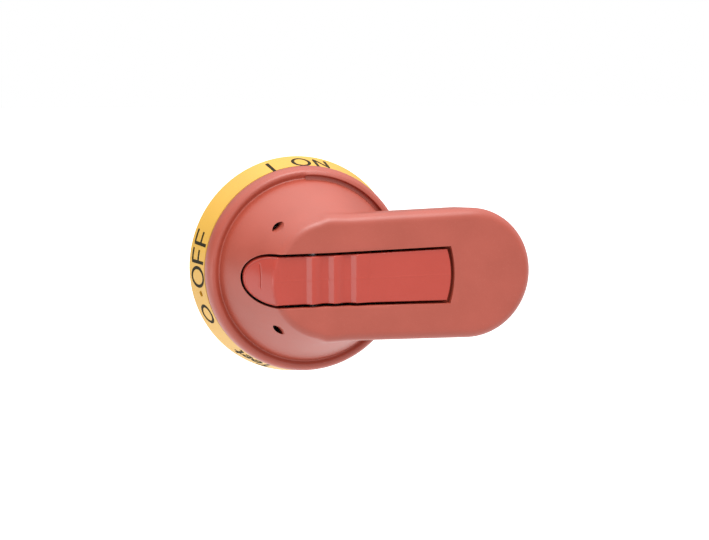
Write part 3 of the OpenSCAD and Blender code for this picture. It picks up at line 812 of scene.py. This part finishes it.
def letterStroke(name, track):
    # a flat ribbon of constant width along a track of (angle, height), wrapped round the cone
    spread = np.radians(track[:, 0]) * dial["midR"]
    flat = np.stack([spread, track[:, 1]], axis=1)
    closed = np.allclose(flat[0], flat[-1])
    if closed:
        flat = flat[:-1]
        ahead = np.roll(flat, -1, axis=0) - np.roll(flat, 1, axis=0)
    else:
        ahead = np.gradient(flat, axis=0)
    ahead /= np.linalg.norm(ahead, axis=1, keepdims=True)
    across = np.stack([-ahead[:, 1], ahead[:, 0]], axis=1) * legend["stroke"] / 2
    if not closed:
        flat[0] -= ahead[0] * legend["stroke"] * 0.5
        flat[-1] += ahead[-1] * legend["stroke"] * 0.5
    rows = []
    sunk, proud = legend["sunk"], legend["proud"]
    for side, lift in ((1, -sunk), (1, proud), (-1, proud), (-1, -sunk)):
        p = flat + across * side
        h = p[:, 1]
        r = dial["outR"] - (dial["outR"] - dial["topR"]) * h / dial["high"] + lift
        angle = p[:, 0] / dial["midR"]
        rows.append(toFrame(r * np.cos(angle), r * np.sin(angle), h))
    points = np.stack(rows, axis=1)
    if not closed:
        centre = points.mean(axis=1)
        first, last = np.repeat(centre[:1, None], 4, axis=1), np.repeat(centre[-1:, None], 4, axis=1)
        points = np.concatenate([first, points, last])
    return gridPiece(name, points, closed, True)


def arc(angle, h, halfAngle, halfHeight, start, end):
    t = np.radians(np.linspace(start, end, 25))
    return np.stack([angle + halfAngle * np.cos(t), h + halfHeight * np.sin(t)], axis=1)


def buildLegend():
    top, low, mid = 2.2, 9.5, 6.2
    tracks = [
        lineStroke((107.4, 3.2), (107.4, 10.4)),
        ovalStroke(90.1, 6.9, 4.45, 3.7),
        lineStroke((81.9, 10.4), (81.9, 3.2), (75.4, 10.4), (75.4, 3.2)),
        ovalStroke(183.5, 6.0, 5.0, 4.0),
        lineStroke((175.4, low), (175.4, top), (169.2, top)), lineStroke((175.4, mid), (169.8, mid)),
        lineStroke((165.7, low), (165.7, top), (159.2, top)), lineStroke((165.7, mid), (159.9, mid)),
        ovalStroke(-155.4, 5.9, 4.9, 3.0),
        lineStroke((-108.0, 2.6), (-113.4, 2.6)), lineStroke((-110.7, 2.6), (-110.7, 9.0)),
        arc(-116.7, 6.9, 2.3, 2.1, -190, 120), lineStroke((-114.5, 6.9), (-118.9, 6.9)),
        arc(-122.6, 5.7, 1.6, 0.95, 60, -270), arc(-122.6, 7.9, 1.6, 1.1, -90, 150),
        lineStroke((-127.3, 3.4), (-127.3, 8.6), (-128.6, 9.0)), lineStroke((-125.9, 5.0), (-129.0, 5.0)),
    ]
    return joinPieces("dialLegend", [letterStroke("stroke%d" % k, track) for k, track in enumerate(tracks)])


dialLegend = buildLegend()
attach(dialLegend, "base")
print("legend has", len(dialLegend.data.polygons), "faces")


def helixPath(radius, low, high, turns, dead=1.0):
    # a helix whose first and last turns lie nearly flat
    t = np.linspace(0, turns, int(turns * 28))
    rise = np.interp(t, [0, dead, turns - dead, turns], [0.0, 0.12, 0.88, 1.0])
    angle = t * 2 * np.pi
    return radius * np.cos(angle), radius * np.sin(angle), low + (high - low) * rise


# each coil stands on the door's normal at a distance and angle from the turning axis
releaseCoil = dict(span=(17.0, 20.3), radius=1.97, wire=0.2, turns=6)
springs = dict(
    boltSpring=dict(replaces="lock_bolt_spring", place=(19.0, 180.0), span=(15.05, 19.75), radius=2.9,
                    wire=0.36, turns=6),
    upperSpring=dict(releaseCoil, replaces="release_spring_upper", place=(access["at"], access["angle"])),
    lowerSpring=dict(releaseCoil, replaces="release_spring_lower", place=(access["at"], -access["angle"])))
for name, spring in springs.items():
    away, turn = spring["place"][0], math.radians(spring["place"][1])
    spot = (away * math.cos(turn), away * math.sin(turn))
    low, high = spring["span"]
    a, b, h = helixPath(spring["radius"], low + spring["wire"], high - spring["wire"], spring["turns"])
    coil = tubeAlong(name, toFrame(spot[0] + a, spot[1] + b, h), spring["wire"] * mm, 10)
    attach(coil, "handle")
    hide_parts(spring["replaces"])

torsion = dict(pivot=clasp["pivot"], coilY=5.2, halfLength=1.15, radius=1.76, wire=0.19, turns=5.5, leg=5.8)


def torsionCoil(name, sign):
    # turns round the pin, and a straight leg that leaves the last turn along the clasp
    half = torsion["halfLength"]
    a, b, y = helixPath(torsion["radius"], -half, half, torsion["turns"], 0.5)
    x = torsion["pivot"][0] + b
    h = torsion["pivot"][1] + a
    reach = np.linspace(0.3, torsion["leg"], 12)
    x = np.concatenate([x, x[-1] + reach])
    h = np.concatenate([h, h[-1] + 0 * reach])
    y = np.concatenate([y, y[-1] + 0 * reach]) * sign + sign * torsion["coilY"]
    return tubeAlong(name, toFrame(x, y, h), torsion["wire"] * mm, 10)


claspSpring = joinPieces("claspSpring", [torsionCoil("coilUpper", 1), torsionCoil("coilLower", -1)])
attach(claspSpring, "handle")
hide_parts("clasp_spring")
print("springs are wound")


# pale and deep are the two pigment tones, dust the tone of the specks; sizes are in mm
plastics = dict(
    yellow_plastic=dict(deep=(0.54, 0.295, 0.03, 1), pale=(0.59, 0.335, 0.038, 1), dust=(0.7, 0.46, 0.14, 1),
                        speck=0.25, cloudSize=16.0, grainSize=0.3, rubSize=8.0, roughness=0.46,
                        roughSpread=0.1, bump=0.12, gloss=0.5),
    red_handle_plastic=dict(deep=(0.295, 0.047, 0.026, 1), pale=(0.335, 0.057, 0.034, 1),
                            dust=(0.45, 0.14, 0.11, 1), speck=0.25, cloudSize=14.0, grainSize=0.35,
                            rubSize=7.0, roughness=0.41, roughSpread=0.12, bump=0.14, gloss=0.6),
    red_clasp_plastic=dict(deep=(0.345, 0.039, 0.024, 1), pale=(0.375, 0.045, 0.03, 1),
                           dust=(0.45, 0.1, 0.08, 1), speck=0.15, cloudSize=18.0, grainSize=0.3,
                           rubSize=9.0, roughness=0.3, roughSpread=0.06, bump=0.06, gloss=0.45),
    seal_rubber=dict(deep=(0.018, 0.018, 0.018, 1), pale=(0.032, 0.031, 0.03, 1), dust=(0.1, 0.1, 0.095, 1),
                     speck=0.4, cloudSize=9.0, grainSize=0.25, rubSize=5.0, roughness=0.72,
                     roughSpread=0.1, bump=0.2, gloss=0.35),
    grey_plastic=dict(deep=(0.06, 0.065, 0.07, 1), pale=(0.08, 0.085, 0.09, 1), dust=(0.16, 0.16, 0.16, 1),
                      speck=0.3, cloudSize=10.0, grainSize=0.3, rubSize=6.0, roughness=0.5,
                      roughSpread=0.12, bump=0.15, gloss=0.5),
    black_plastic=dict(deep=(0.022, 0.019, 0.012, 1), pale=(0.035, 0.03, 0.02, 1), dust=(0.1, 0.09, 0.07, 1),
                       speck=0.25, cloudSize=8.0, grainSize=0.25, rubSize=6.0, roughness=0.48,
                       roughSpread=0.12, bump=0.12, gloss=0.5),
    legendInk=dict(deep=(0.014, 0.011, 0.003, 1), pale=(0.024, 0.018, 0.005, 1), dust=(0.06, 0.05, 0.03, 1),
                   speck=0.3, cloudSize=6.0, grainSize=0.25, rubSize=4.0, roughness=0.75,
                   roughSpread=0.1, bump=0.08, gloss=0.15),
    bearing_plastic=dict(deep=(0.6, 0.56, 0.46, 1), pale=(0.68, 0.65, 0.56, 1), dust=(0.4, 0.38, 0.33, 1),
                         speck=0.2, cloudSize=9.0, grainSize=0.3, rubSize=5.0, roughness=0.35,
                         roughSpread=0.1, bump=0.08, gloss=0.5))
metals = dict(
    brass=dict(dark=(0.52, 0.34, 0.12, 1), light=(0.72, 0.52, 0.22, 1), roughness=0.34,
               streaks=(1.0, 9.0, 1.0)),
    zinc_steel=dict(dark=(0.42, 0.45, 0.5, 1), light=(0.62, 0.65, 0.68, 1), roughness=0.38,
                    streaks=(2.0, 2.0, 2.0)),
    bright_steel=dict(dark=(0.46, 0.46, 0.47, 1), light=(0.64, 0.64, 0.65, 1), roughness=0.24,
                      streaks=(2.5, 9.0, 2.5)),
    spring_steel=dict(dark=(0.2, 0.2, 0.22, 1), light=(0.34, 0.34, 0.36, 1), roughness=0.3,
                      streaks=(3.0, 3.0, 3.0)))
finishes = {name: mouldedPlastic(name, look) for name, look in plastics.items()}
finishes.update({name: metal(name, look) for name, look in metals.items()})


def paint(piece, material):
    piece.data.materials.clear()
    piece.data.materials.append(material)


for subpart in frame["record"]["subparts"]:
    paint(frame["nodes"][subpart["node"]], finishes[subpart["material_slot"]])
paint(shellSkin, finishes["red_handle_plastic"])
paint(claspSkin, finishes["red_clasp_plastic"])
paint(dialLegend, finishes["legendInk"])
for name in list(springs) + ["claspSpring"]:
    paint(bpy.data.objects[name], finishes["spring_steel"])
print("materials are on")
